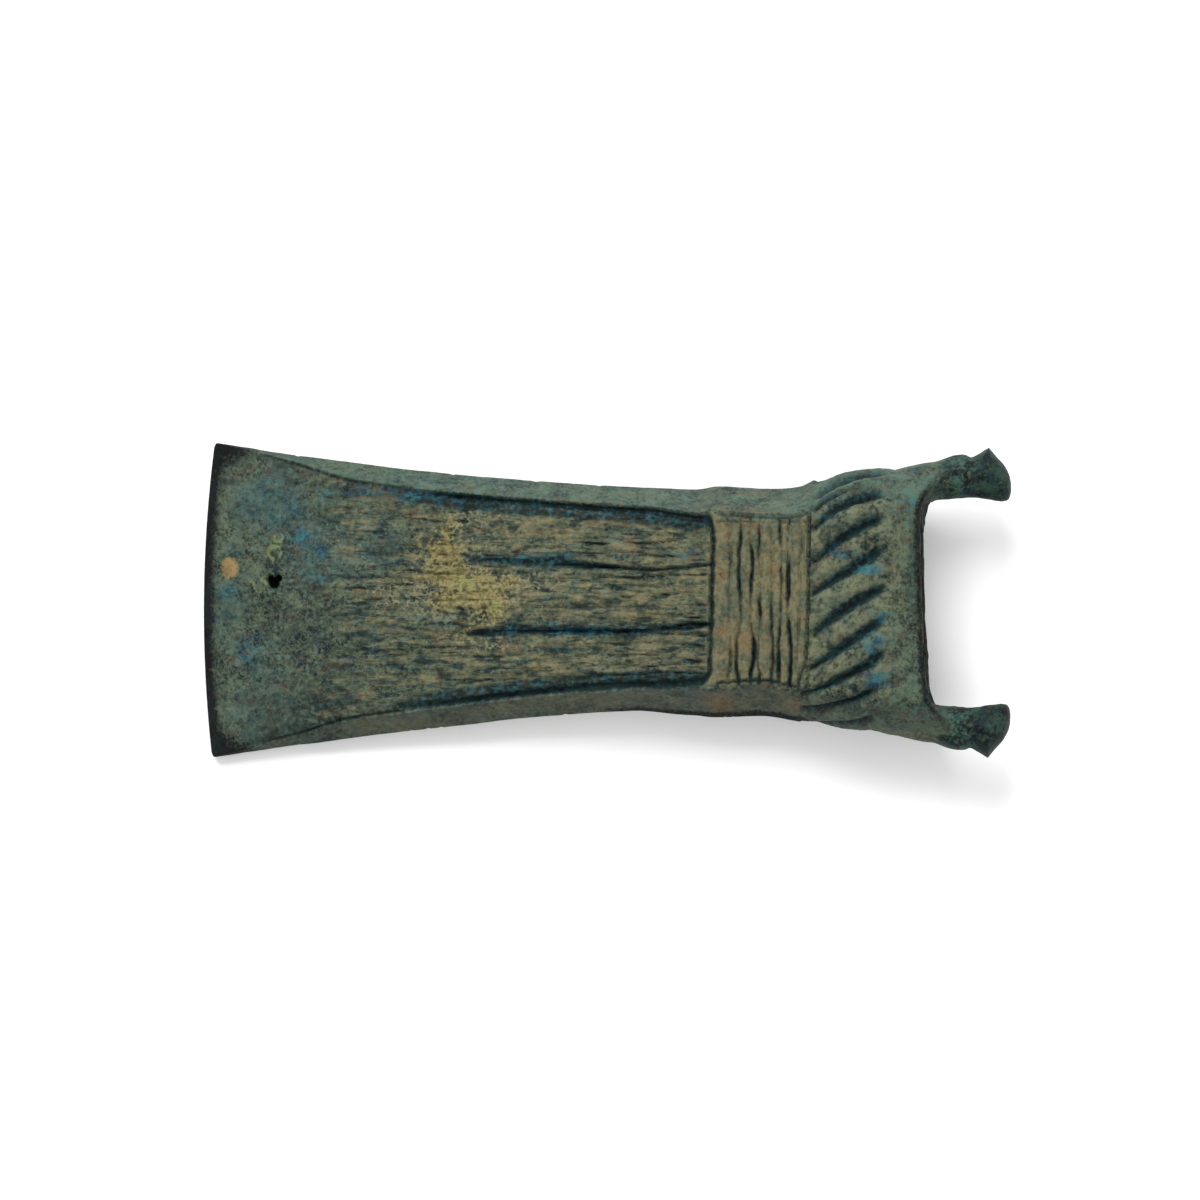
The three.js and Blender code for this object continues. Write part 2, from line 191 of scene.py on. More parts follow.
out = (y / half_width(s)) ** 2
near_mouth = rise(s, COLLAR_END, MOUTH_AT)
tongue = rise(np.abs(y), *TONGUE_INNER) * (1 - TONGUE_DROOP * rise(np.abs(y), *TONGUE_OUTER))
tongue = tongue * rise(s, TONGUE_START, MOUTH_AT)
edge_bow = EDGE_BOW * out * np.clip(1 - s / BOW_FADE, 0, 1) ** 2
bow = edge_bow - (MOUTH_BOW * (1 - out) + MOUTH_SKEW * y) * near_mouth
Y = y + sway(s) + TONGUE_SPLAY * tongue * np.sign(y)
skin = np.stack(np.broadcast_arrays(s + bow + TONGUE_REACH * tongue, Y, z), axis=-1)

# The shoulders between face and side: sharp in the mould, worn a little all along since, and smoothed round
# at the collar, where the rope turns over them. Both are counts of smoothing turns.
SHOULDER_WEAR = 3
COLLAR_ROUNDING = 70
ROUNDED_FROM = (111, 114.5)
NEAR_SHOULDER = (0.35, 0.8)
for turn in range(COLLAR_ROUNDING):
    worn = np.where(turn < SHOULDER_WEAR, 1, rise(s, *ROUNDED_FROM)) * rise(climb, *NEAR_SHOULDER)
    evened = (np.roll(skin, 1, axis=1) + np.roll(skin, -1, axis=1)) / 2
    skin += (0.5 * worn)[..., None] * (evened - skin)

# The panel: a groove cut round the broad face in the wax, straight along both sides, round at its corners
# and slanting at its end. Towards the cutting edge it runs out, and a faint line parts face and side.
PANEL_ROUND = 3.2
PANEL_INSET = 0.8
PANEL_END = 95.25
END_SLANT = 0.0225
END_HALF = 0.6
MARGIN_DEPTH = 1.15
END_SHALLOWER = 0.3
MARGIN_FADE = (28, 50)
LOWER_MARGIN = 1.2
LOWER_LINE = 0.55
UPPER_LINE = 0.35
LINE_START = (6, 14)
LINE_END = (32, 44)


def grain(x, y, z):
    """Smooth noise from about -1 to 1, whose cells are one unit wide."""
    points = np.stack(np.broadcast_arrays(x, y, z), axis=-1)
    return np.array([noise.noise(p) for p in points.reshape(-1, 3).tolist()]).reshape(points.shape[:-1])


def trench(distance, half):
    """A groove of depth 1 with a round bottom, from the distance to its line and its half width."""
    return np.clip(1 - (distance / half) ** 2, 0, 1) ** 1.3


def zone(x, start, end):
    """1 between a soft step at its start and one at its end, each given as (from, to)."""
    return rise(x, *start) * (1 - rise(x, *end))


S = s + 0 * Y
edge_gap = face_half - np.abs(y)
ragged = 1 + 0.35 * grain(S / 1.7, Y / 1.7, 6.1) + 0.25 * grain(S / 0.8, Y / 0.8, 16.1)
end_line = PANEL_END + END_SLANT * Y + 0.35 * grain(Y / 3, 0, 2.2)
past_end = S - (end_line - PANEL_ROUND)
past_side = np.abs(y) - (face_half - PANEL_INSET - PANEL_ROUND)
outline = np.hypot(np.clip(past_end, 0, None), np.clip(past_side, 0, None)) - PANEL_ROUND
outline += np.clip(np.maximum(past_end, past_side), None, 0)
at_end = rise(past_end - past_side, -2, 2)
margin_half = np.interp(S, (30, 60, 94), (0.7, 0.9, 1.2)) * np.where(y < 0, LOWER_MARGIN, 1)
margin_half = margin_half * (1 - at_end) + END_HALF * at_end
margin = trench(outline, margin_half * ragged) * rise(S, *MARGIN_FADE)
margin = margin * (MARGIN_DEPTH - END_SHALLOWER * at_end)
shoulder_zone = zone(S, LINE_START, LINE_END)
shoulder_line = np.where(y < 0, LOWER_LINE, UPPER_LINE) * trench(edge_gap - 0.3, 0.5) * shoulder_zone
shoulder_shade = trench(edge_gap - 0.9, 2.2) * shoulder_zone * on_face

# The ribs of the panel: two long grooves, cut freehand from the band towards the edge, part it in three.
# The lower one forks round a small island.
FORK_AT = 91
FORK_HALF = 0.5
RIB_DEPTH = 0.8
FORK_DEPTH = 0.85
UPPER_FADE = (47, 57)
LOWER_FADE = (42, 54)


def hump(x, centre, reach):
    """1 at the centre, falling off like a bell."""
    return np.exp(-(((x - centre) / reach) ** 2))


wobble = 0.18 * grain(S / 7, 0, 3.3)
upper_line = through((48, 7.2), (55, 7.05), (66, 6.7), (73.7, 6.3), (81, 5.75), (84, 5.4), (89, 5.75),
                     (95, 6.5))
lower_line = through((45, -6.9), (55, -6.1), (66, -5.75), (82, -5.75), (88.5, -5.2), (95.2, -4.45))
from_upper = Y - upper_line(S) - wobble
from_lower = Y - lower_line(S) - wobble
upper_half = ragged * np.interp(S, (50, 66, 76), (0.6, 0.85, 0.5))
lower_half = ragged * np.interp(S, (60, 88), (0.75, 0.5))
ribs = trench(from_upper, upper_half) * rise(S, *UPPER_FADE) * RIB_DEPTH
fork = FORK_HALF * hump(S, FORK_AT, 2)
for hand in (1, -1):
    branch = trench(from_lower - hand * fork, lower_half) * rise(S, *LOWER_FADE)
    ribs = np.maximum(ribs, FORK_DEPTH * branch)
ribs = ribs * rise(end_line - S, 0, 0.5)

# The creases of the panel: fine cracks and low ridges along it, like the grain of weathered wood, deeper
# towards the band. Each row gives their length, how far apart they are, their seed and their depth.
CREASES = ((26, 2.1, 2.1, 0.55), (14, 1.25, 7.7, 0.4), (8, 0.85, 13.9, 0.15))
CREASE_SHARE = 0.16
RIDGE_HEIGHT = 0.3
CREASE_FADE = (21, 27)
inside = rise(-outline, 0.6, 1.8) * rise(S + 4 * grain(Y / 2.5, S / 12, 5.5), *CREASE_FADE)
wave = 0.3 * grain(S / 6, Y / 4, 8.1) + 0.12 * grain(S / 2.2, Y / 1.5, 3.7)
creases = 0
for length, pitch, seed, depth in CREASES:
    thread = np.abs(grain(S / length, (Y + wave) / pitch, seed))
    creases = creases + depth * np.clip(1 - thread / CREASE_SHARE, 0, 1)
creases = creases * inside * (0.65 + 0.25 * rise(S, 58, 90))
ridges = RIDGE_HEIGHT * inside * grain(S / 14, (Y + wave) / 1.5, 31.3)

# The band: cords laid across the neck of the wax and cast with the rest. They are pinched towards one
# side, and end in round tips below and short nubs above. Each row is a line between cords and its depth.
CORD_LINES = ((98.4, 0.4), (100.4, 0.6), (102.6, 0.8), (104.1, 0.6), (106.3, 0.55), (107.9, 0.7),
              (109.4, 0.7), (111.4, 0.35))
CORD_PITCH = 2.05
TIP_START = 96.2
PINCH = 0.5
PINCH_START = (4, 9)
PINCH_END = (10, 15)
NUBS_AT = 13.9
collar_line = through((-20, 110.6), (-15, 111.4), (-11, 112.6), (0, 113.1), (20, 113.2))(Y)
collar_line = collar_line + 0.3 * grain(Y / 3, 0, 7.9)
in_band = rise(S - end_line, 0.1, 0.6) * rise(collar_line - S, 0, 0.5)
cords = 0
for i, (at, depth) in enumerate(CORD_LINES):
    pinch = PINCH * (-1) ** i * zone(-Y, PINCH_START, PINCH_END)
    path = at + pinch + 0.4 * grain(Y / 8, i * 3.7, 1.5) + 0.25 * grain(Y / 1.8, i * 3.7, 8.5)
    worn = np.clip(0.8 + 1.3 * grain(Y / 5, i * 5.1, 4.4) + 0.25 * rise(-Y, 2, 8), 0.3, 1.2)
    line = depth * worn * trench(S - path, 0.22 + 0.18 * worn)
    cords = np.maximum(cords, line + 0.2 * trench(S - path, 1.1))
tips = 0.5 + 0.45 * np.abs(np.sin(math.pi * (S - TIP_START) / CORD_PITCH))
low_tips = 0.75 * trench(edge_gap - tips, 0.55) * (Y < 0)
high_nubs = 0.6 * trench(edge_gap - tips * 0.7, 0.5)
high_nubs = np.maximum(high_nubs, 0.5 * trench(Y - NUBS_AT - 0.5 * tips, 0.45)) * (Y > 0)
band_top = 0.7 * trench(edge_gap - 0.2, 0.5 * ragged) * (Y > 0)
cord_ends = np.maximum(np.maximum(low_tips, high_nubs), band_top) * rise(S, BAND_START, BAND_START + 1)
cords = np.maximum(cords, cord_ends) * in_band
collar_start = 0.75 * trench(S - collar_line, 0.45 * ragged) * rise(edge_gap, -0.5, 0.6)

# The rope: round strands that wind round the collar, parted by grooves. They were laid by hand in the
# wax, so each strays a little at its foot and at its head, and one on the upper shoulder is split.
ROPE_STRANDS = 18
ROPE_SLANT = 0.072  # of the girth, from foot to head
ROPE_START = 0.012  # of the girth, from the seam
ROPE_GAP = 0.4
COLLAR_START = 112.8
GROOVE_HALF = 1.05
VALLEY_HALF = 2.8
VALLEY_DEPTH = 0.6
SPLIT_DEPTH = 0.9
SPLIT_START = (13.8, 14.6)
SPLIT_END = (18.2, 19)
SPLIT_RUN = (0.5, 0.8)
steps = np.linalg.norm(np.roll(skin, -1, axis=1) - skin, axis=2)
girth = steps.sum(axis=1, keepdims=True)
share = (np.cumsum(steps, axis=1) - steps) / girth
rope_length = COLLAR_END - COLLAR_START - ROPE_GAP + 0.05 * np.clip(10 - Y, 0, 20)
run = np.clip((S - collar_line - ROPE_GAP) / rope_length, 0, 1)
astray_low = through((-20, 0.6), (-17.4, 1.8), (-12.6, 2.3), (-6.3, 2.1), (1.3, 0.3), (7.9, 0.6), (13.8, 0.5),
                     (18.5, -0.8))(Y)
astray_high = through((-15.4, -1.5), (-8.8, -1.5), (-2.7, -0.3), (2.9, 1), (9.7, 0.5), (14.5, 1.4),
                      (18.6, 3.8))(Y)
astray = (astray_low * (1 - run) + astray_high * run) / girth
strand = (share + ROPE_SLANT * run + ROPE_START - astray) * ROPE_STRANDS
between = (strand - np.floor(strand) - 0.5) * girth / ROPE_STRANDS
from_middle = (strand - np.floor(strand + 0.5)) * girth / ROPE_STRANDS
foot = rise(run, 0, 0.04)
reach = foot * (1 - rise(run, 0.74, 1.02))
opening = (0.35 + 0.65 * rise(run, 0, 0.5)) * (0.8 + 0.2 * rise(climb, 0.7, 1))
rope_half = np.maximum(0.45 + 0.8 * opening, np.where(on_face, 0, GROOVE_HALF))
rope = reach * (0.65 + 0.4 * opening) * trench(between, rope_half * ragged)
valley = VALLEY_DEPTH * reach * trench(between, VALLEY_HALF) * (1 - rim)
split_zone = zone(Y - 5 * run, SPLIT_START, SPLIT_END) * (1 - rise(run, *SPLIT_RUN)) * (z > 0)
rope = np.maximum(rope, SPLIT_DEPTH * foot * split_zone * trench(from_middle, GROOVE_HALF * ragged))

# The lip: a plain ring of the casting beyond the rope, with faint lines along it that were left when the
# wax was smoothed.
LIP_LINE_DEPTH = 0.26
lip_zone = rise(S, COLLAR_END - 0.6, COLLAR_END + 0.6) * (1 - rim)
lip_grain = np.abs(grain(S / 0.9, share * girth / 6, 3.1))
lip_lines = LIP_LINE_DEPTH * lip_zone * np.clip(1 - lip_grain / 0.3, 0, 1)

# The pores that gas left in the bronze: a deep one near the edge, of three lobes given by place (s, y),
# radius and depth, and many shallow ones all over.
PORES = ((13.3, 3.2, 1.25, 2.4), (12.7, 3.9, 0.9, 1.9), (14.1, 4.1, 0.9, 1.9))
PIT_DEPTH = 0.16
pores = 0
for at, side, size, depth in PORES:
    pores = np.maximum(pores, depth * trench(np.hypot(skin[..., 0] - at, Y - side), size) * (z > 0))
pits = PIT_DEPTH * rise(grain(S / 1.1, Y / 1.1, z / 1.1), 0.46, 0.66) * (1 - rim)

# All that is carved, fainter on the back, is sunk into the skin, with the ridges and a slight unevenness.
BACK_SHARE = 0.8
carved = np.where(front > 0, 1, BACK_SHARE) * np.where(on_face, margin + ribs + creases + shoulder_line, 0)
carved = np.maximum(carved, cords * on_face)
carved = np.maximum(carved, np.maximum(collar_start, rope * (1 - rim)))
uneven = 0.16 * grain(S / 9, Y / 7, z / 7) + 0.05 * grain(S / 2.1, Y / 2.1, z / 2.1)
height = ridges * on_face - carved - valley - lip_lines - pores
height = height - pits * rise(S, 1.5, 4) + uneven * rise(S, 0, 6) * (1 - rim)
lengthways = np.gradient(skin, axis=0)
around = np.roll(skin, -1, axis=1) - np.roll(skin, 1, axis=1)
outwards = np.cross(around, lengthways)
outwards /= np.linalg.norm(outwards, axis=2, keepdims=True) + 1e-9
outwards[np.broadcast_to(rim, S.shape) > 0] = (1, 0, 0)
from_axis = np.stack((0 * z, y, z), axis=-1)
outwards *= np.where(np.sum(outwards * from_axis, axis=2) < 0, -1, 1)[..., None]
skin += height[..., None] * outwards

# The stain in the hollows of the casting: dark blue minerals that gathered there in the ground, and crept
# a little way out over their edges.
STAIN_SPREAD = 6
beside_margin = 0.85 * trench(outline + 0.9, (margin_half + 1) * ragged) * rise(S, 26, 48) * (1 - at_end)
beside_upper = trench(from_upper - 0.4, 1.8 * ragged) * zone(S, (46, 51), (67, 76))
beside_lower = trench(from_lower - 0.2, 1.4 * ragged) * zone(S, (48, 55), (80, 92))
beside_lines = np.maximum(beside_margin, 0.5 * np.maximum(beside_upper, beside_lower)) * (z > 0)
beside_rope = 0.55 * reach * (0.4 + 0.6 * opening) * trench(between + 0.3, 1.9 * ragged) * (z > 0)
stain = np.clip((carved - 0.45) / 0.5, 0, 1)
stain = np.maximum(stain, on_face * beside_lines)
stain = np.maximum(stain, beside_rope * (1 - rim))
for turn in range(STAIN_SPREAD):
    beside = np.roll(stain, 1, axis=1) + np.roll(stain, -1, axis=1)
    stain = (stain * 2 + beside + np.roll(stain, 1, axis=0) + np.roll(stain, -1, axis=0)) / 6

# Marks for the patina, kept on the points of the skin: where a tan crust lies thick, where it follows the
# carved grain or the cords, where the bronze is bare, where the cutting edge is dark, where shade is painted
# round the lip and along the lower side, and where colours have bloomed. Each spot below is a place (s, y)
# on the front, a reach both ways and a strength, and each ring a place and a radius.
CRUST = through((0, 0), (18, 0.12), (27, 0.4), (40, 0.62), (60, 0.7), (92, 0.76), (96, 0.95), (111, 0.88),
                (114, 0.66), (126, 0.52), (131, 0.45), (133, 0.1))
BARE_SPOTS = ((35, 11, 6, 4.5, 0.35), (61, 7.5, 12, 1.6, 0.4), (73, -6, 9, 1.2, 0.3), (45, -2.5, 8, 2, 0.15))
OCHRE_SPOTS = ((45, 8.5, 4, 5, 0.75), (48.5, 3, 6, 5, 0.8), (56, -1, 4, 4, 0.5), (44.5, -0.5, 2.5, 3, 0.5),
               (52, 0, 3, 4, 0.6), (50, -6, 4, 2.5, 0.55), (57, 3, 2.2, 2.5, 0.45), (47, 13.5, 2, 2, 0.4),
               (72, 2, 3, 3, 0.3))
LACE_SPOTS = ((50, 3, 7, 9, 0.7), (27, 13, 8, 6, 0.35), (58, 8, 4, 2, 0.6), (35.5, 1.5, 6, 3.2, 0.9),
              (40, 0, 3, 4, 0.7), (64, 2, 8, 4, 0.7), (55, -9, 9, 4, 0.5), (50, 16, 9, 3, 0.6),
              (86, 12, 3, 1.6, 0.7))
BLUE_SPOTS = ((4.8, 1.8, 2, 1.2, 1), (8, -11, 2, 2, 0.5), (9, -8, 4, 2, 0.6), (13, 17, 8, 6, 0.2),
              (19, 12, 3, 2, 0.7), (21, 4.5, 3, 1.5, 0.6), (22.5, 9, 1.4, 1.2, 1.3), (34, 20, 14, 1.6, 0.6),
              (42, 18.6, 10, 1.2, 0.35), (46, -3, 4, 2, 0.4), (60, 7.6, 7, 1.5, 0.2), (61, 7.2, 8, 1.7, 0.3),
              (62, 17.2, 12, 1.3, 0.35), (66, 8.6, 5, 0.8, 0.6), (66, -5.2, 14, 1.1, 0.45),
              (71, -6, 6, 0.8, 0.9), (78, 12, 4, 2, 0.4), (82, 16.2, 8, 1.1, 0.3), (90, 8.4, 4.5, 1.4, 0.7),
              (100, 4, 2, 2, 0.4), (108, 15, 12, 1.5, 0.4), (117, 19.6, 2.5, 1.1, 0.7),
              (119, 8.6, 3, 1.3, 0.9), (123.6, 5.4, 2, 1.2, 0.6), (124, 5.6, 2.5, 1.2, 0.9),
              (124.6, -9.4, 1.6, 1.3, 0.9), (125.3, -15.4, 1.8, 1.2, 0.7), (126, -7.4, 3, 1.6, 0.9),
              (126, -14, 3, 2, 0.7), (127, -3, 1.8, 1.3, 0.9), (131, 17, 3, 3, 0.6))
HAZE_SPOTS = ((14, 17, 8, 7, 0.9), (20, 8, 5, 5, 0.6), (10, -12, 8, 8, 0.5), (33, 8, 8, 4, 0.6),
              (5, 0, 3, 4, 0.5))
SHADE_SPOTS = ((21, 2.5, 2.5, 1.6, 0.7), (18, 9, 2, 2, 0.4), (35, 10, 7, 5, 0.3), (12, -22, 11, 8, 0.45),
               (24, -19, 8, 4, 0.5), (28, -5, 6, 9, 0.3), (92, 12, 5, 4, 0.3), (32, 20, 9, 2, 0.5),
               (133, 4, 3, 14, 0.5))
LIME_SPOTS = ((17, 3, 1.5, 2, 0.5), (49.5, 3.4, 2.5, 2.5, 1.1), (55, -1.5, 2, 2, 1.1), (7, -9, 4, 5, 0.3),
              (12.5, 9.5, 1, 2, 0.8))
LIME_RINGS = ((13.4, 8.9, 1.3), (10.6, 2.7, 1.2), (14, 11.6, 0.8))
LIME_RING_HALF = 0.35
RUST_SPOTS = ((97, -19, 2.5, 2, 0.9), (111, -19, 2.5, 1.5, 0.7), (102, -8, 8, 4, 0.2), (100, 14, 3, 1, 0.4),
              (136, 22, 2, 1.5, 0.6), (60, 8, 3, 1, 0.3), (29, 9, 3, 4, 0.3))
TAN_SPOT = (4.9, 6, 1.7, 2.1, 1)


def spots(*table):
    """The sum of the spots on the front."""
    each = (strength * np.exp(-(((S - at) / along) ** 2) - ((Y - side) / beside) ** 2)
            for at, side, along, beside, strength in table)
    return sum(each) * (z > 0)


lime_rings = sum(hump(np.hypot(S - at, Y - side), size, LIME_RING_HALF) for at, side, size in LIME_RINGS)
# Dark along the cutting edge and at the blade's corners. Painted shade: a band round the lip's rim, which
# faces away from the light, and one along the lower side by the parting line, where the side turns under.
dark_cutting_edge = 1 - rise(S, 0.3, 3.6) * rise(S + (half_width(s) - np.abs(y)) * 1.3, 4, 14)
painted_lip_shade = 0.75 * rise(S, 132.3, 134.2) * (1 - 0.7 * tongue)
painted_underside_shade = rise(0.25 - climb, 0, 0.15) * zone(S, (70, 80), (112, 116)) * (y < 0)
marks = {
    "hollow": np.clip((carved - 0.35 * creases * on_face + pores - 0.18) / 0.85, 0, 1.3),
    "stain": stain,
    "pit": pores / 1.6,
    "side": 1 - rise(climb, 0.9, 1),
    "crust": (CRUST(S) - spots(*BARE_SPOTS)) * np.where(on_face, 0.5 + 0.5 * rise(edge_gap, 0, 1.4), 0.5),
    "wood": rise(-outline, -0.2, 1.2) * rise(S, 15, 30) * on_face,
    "cords": in_band * on_face + 0.8 * lip_zone,
    "collar": rise(S - collar_line, -0.5, 1.5),
    "shade": spots(*SHADE_SPOTS) + 1.2 * shoulder_line + 0.45 * shoulder_shade,
    "ochre": spots(*OCHRE_SPOTS),
    "lace": spots(*LACE_SPOTS),
    "blue": spots(*BLUE_SPOTS),
    "haze": spots(*HAZE_SPOTS),
    # The edge mark: the dark cutting edge, with the painted shade on the lip's rim and on the lower side.
    "edge": np.maximum(dark_cutting_edge, np.maximum(painted_lip_shade, 0.8 * painted_underside_shade)),
    "tan": spots(TAN_SPOT),
    "lime": spots(*LIME_SPOTS) + lime_rings * (z > 0),
    "rust": spots(*RUST_SPOTS) + 0.3 * in_band * on_face,
}


def rolled(name, skin, marks):
    """A closed tube: a grid rolled up on the skin's rings, welded along its seam and capped at both ends."""
    rings, points = skin.shape[:2]
    bpy.ops.object.select_all(action="DESELECT")
    bpy.ops.mesh.primitive_grid_add(x_subdivisions=rings - 1, y_subdivisions=points, size=1)
    piece = bpy.context.object
    piece.name = piece.data.name = name
    place = np.empty(len(piece.data.vertices) * 3)
    piece.data.vertices.foreach_get("co", place)
    ring = np.rint((place[0::3] + 0.5) * (rings - 1)).astype(int)
    point = np.rint((place[1::3] + 0.5) * points).astype(int) % points
    piece.data.vertices.foreach_set("co", (skin[ring, point] * MM).ravel())
    for mark, values in marks.items():
        layer = piece.data.attributes.new(mark, "FLOAT", "POINT")
        layer.data.foreach_set("value", np.broadcast_to(values, skin.shape[:2])[ring, point].ravel())
    bpy.ops.object.mode_set(mode="EDIT")
    bpy.ops.mesh.select_all(action="SELECT")
    bpy.ops.mesh.remove_doubles(threshold=1e-7)
    bpy.ops.mesh.select_all(action="DESELECT")
    bpy.ops.mesh.select_mode(type="EDGE")
    bpy.ops.mesh.select_non_manifold(extend=False, use_wire=False, use_multi_face=False,
                                     use_non_contiguous=False)
    bpy.ops.mesh.fill_holes(sides=0)
    bpy.ops.mesh.select_all(action="SELECT")
    bpy.ops.mesh.normals_make_consistent(inside=False)
    bpy.ops.object.mode_set(mode="OBJECT")
    return piece


axe_head = rolled("axe_head_casting", skin, marks)

# The horns: an arm grows out of each side of the collar, with a bead and a notch on its outer side and a
# flared end with a low dome. They are cast with the rest, and are rougher and darker than it. Each ring
# of an arm is given by its outer end (s, y), its inner end (s, y) and its half height.
HORN_ARM = ((122, 22.5, 122, 18.5, 3.2), (130.5, 25.0, 131, 18.2, 4.9), (134.5, 25.85, 135.2, 18.4, 5.2),
            (135.8, 26.0, 136.2, 18.85, 4.9), (138, 26.7, 138.4, 19.1, 4.6), (139.5, 27.2, 139.8, 19.2, 4.5),
            (140.7, 27.3, 141.0, 19.3, 4.45), (141.6, 27.2, 142.2, 19.4, 4.3),
            (142.6, 26.85, 143.2, 19.4, 4.1), (143.3, 27.1, 144.3, 19.3, 4.2),
            (144.3, 27.7, 145.8, 19.0, 4.6), (145.9, 28.65, 148.3, 18.6, 5.2))
HORN_CAP = (HORN_ARM[-1], (147.5, 26.8, 149.2, 18.8, 4.5), (149, 25, 149.8, 19.5, 3.2),
            (149.75, 23.4, 150.05, 20.8, 1.5), (149.95, 22.5, 150.02, 21.9, 0.4))
HORN_CELLS = 40
HORN_CRUST = 0.35
HORN_SIDE = 0.55
HORN_DARK = (134.5, 139.5)
HORN_TIP = (141, 145)
HORN_ROUGH = (134, 138)


def chords(table, count):
    """The table's columns, each on a smooth curve with that many steps between its rows."""
    rows = np.array(table)
    at = np.linspace(0, len(rows) - 1, (len(rows) - 1) * count + 1)
    return np.array([through(*enumerate(column))(at) for column in rows.T])


def joined(operation, part):
    """Cast a part on to the axe head, or cut it out, and clear it away."""
    join = axe_head.modifiers.new(part.name, "BOOLEAN")
    join.operation = operation
    join.solver = "MANIFOLD"
    join.object = part
    bpy.ops.object.select_all(action="DESELECT")
    bpy.context.view_layer.objects.active = axe_head
    bpy.ops.object.modifier_apply(modifier=join.name)
    bpy.data.objects.remove(part)


horn_chords = np.concatenate((chords(HORN_ARM, 4), chords(HORN_CAP, 3)[:, 1:]), axis=1)[..., None]
outer_s, outer_y, inner_s, inner_y, half_high = horn_chords
angle = np.linspace(0, 2 * math.pi, HORN_CELLS, endpoint=False)
reach_out = (1 + np.cos(angle)) / 2
horn_marks = {"horn": rise(inner_s, *HORN_DARK), "tip": rise(inner_s, *HORN_TIP), "crust": HORN_CRUST,
              "side": HORN_SIDE}
for hand, name in ((1, "horn_left"), (-1, "horn_right")):
    horn_s = inner_s + (outer_s - inner_s) * reach_out
    horn_y = hand * (inner_y + (outer_y - inner_y) * reach_out)
    horn_skin = np.stack((horn_s, horn_y, half_high * np.sin(angle)), axis=-1)
    centre = horn_skin.mean(axis=1, keepdims=True)
    lumps = 0.22 * grain(*np.moveaxis(horn_skin / 3.1, 2, 0))
    lumps = lumps + 0.1 * grain(*np.moveaxis(horn_skin / 1.2, 2, 0))
    away = (horn_skin - centre) / np.linalg.norm(horn_skin - centre, axis=2, keepdims=True)
    horn_skin += (lumps * rise(inner_s, *HORN_ROUGH) * rise(half_high, 0, 2))[..., None] * away
    joined("UNION", rolled(name, horn_skin, horn_marks))

# The socket: the hollow that the core left in the casting. It has a flattened, six-cornered section,
# tapers to a flat floor and has a rounded mouth.
SOCKET_DEPTH = 60
SOCKET_CORNER = 0.58
SOCKET_CELLS = 72
MOUTH_FLARE = 0.7
MOUTH_FLARE_DEPTH = 1.8
CORE_REACH = 2
socket_floor = MOUTH_AT - SOCKET_DEPTH
socket_s = spread((socket_floor, MOUTH_AT - 2, 30), (MOUTH_AT - 2, MOUTH_AT + CORE_REACH, 10))[:, None]
taper = (socket_s - socket_s[0]) / SOCKET_DEPTH
deep_across = half_width(socket_s[0]) - SIDE_WALL
deep_high = half_thickness(socket_s[0]) - FACE_WALL
mouth_across = half_width(MOUTH_AT) - SIDE_WALL
mouth_high = half_thickness(MOUTH_AT) - FACE_WALL
flare = MOUTH_FLARE * np.clip((socket_s - MOUTH_AT + MOUTH_FLARE_DEPTH) / MOUTH_FLARE_DEPTH, 0, 1) ** 2
socket_across = deep_across + (mouth_across - deep_across) * taper + flare
socket_high = deep_high + (mouth_high - deep_high) * taper + flare
corner = socket_across - SOCKET_CORNER * socket_high
corners_y = socket_across * np.array((1, 0, 0, -1, 0, 0, 1)) + corner * np.array((0, 1, -1, 0, -1, 1, 0))
corners_z = socket_high * np.array((0, 1, 1, 0, -1, -1, 0))
lap = np.linspace(0, 6, SOCKET_CELLS, endpoint=False)
socket_y = np.array([np.interp(lap, range(7), row) for row in corners_y])
socket_z = np.array([np.interp(lap, range(7), row) for row in corners_z])
socket_skin = np.stack(np.broadcast_arrays(socket_s, socket_y, socket_z), axis=-1).copy()
socket_skin[..., 1:] *= 1 + 0.02 * grain(*np.moveaxis(socket_skin / 5, 2, 0))[..., None]
joined("DIFFERENCE", rolled("core", socket_skin, {"soil": 1.0}))

# Laid down: the axe lies on its back, turned until its blade and its collar both touch the ground, where
# they are worn flat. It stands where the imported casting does.
REST_TURN = 0.081676  # radians, nearly 4.7 degrees
REST_FLAT = 0.2
SMOOTH_ANGLE = 50
low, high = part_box("axe_head")
axe_head.data.transform(Matrix.Rotation(-REST_TURN, 4, "Y"))
places = np.empty(len(axe_head.data.vertices) * 3)
axe_head.data.vertices.foreach_get("co", places)
places = places.reshape(-1, 3)
places[:, 0] += (low[0] + high[0] - places[:, 0].min() - places[:, 0].max()) / 2
places[:, 2] = np.clip(places[:, 2] - places[:, 2].min() - REST_FLAT * MM, 0, None)
axe_head.data.vertices.foreach_set("co", places.ravel())
bpy.ops.object.select_all(action="DESELECT")
axe_head.select_set(True)
bpy.context.view_layer.objects.active = axe_head
bpy.ops.object.shade_smooth_by_angle(angle=math.radians(SMOOTH_ANGLE))
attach(axe_head, "root")
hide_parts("axe_head")

# The patina of the bronze: slate and grey-green minerals mottled at a millimetre's scale, tan crust on
# what stands proud, blue-black in the hollows, blooms of blue, ochre and lime, and a dark cutting edge.
# The same dark colour paints shade round the lip's rim and along the lower side, and the side that faces
# the light is painted lighter.
PIGMENT_DEPTH = 0.62
SHINE = 0.12
patina = bpy.data.materials.new("bronze_patina_aged")
patina.use_nodes = True
axe_head.data.materials.clear()
axe_head.data.materials.append(patina)
surface = patina.node_tree.nodes["Principled BSDF"]


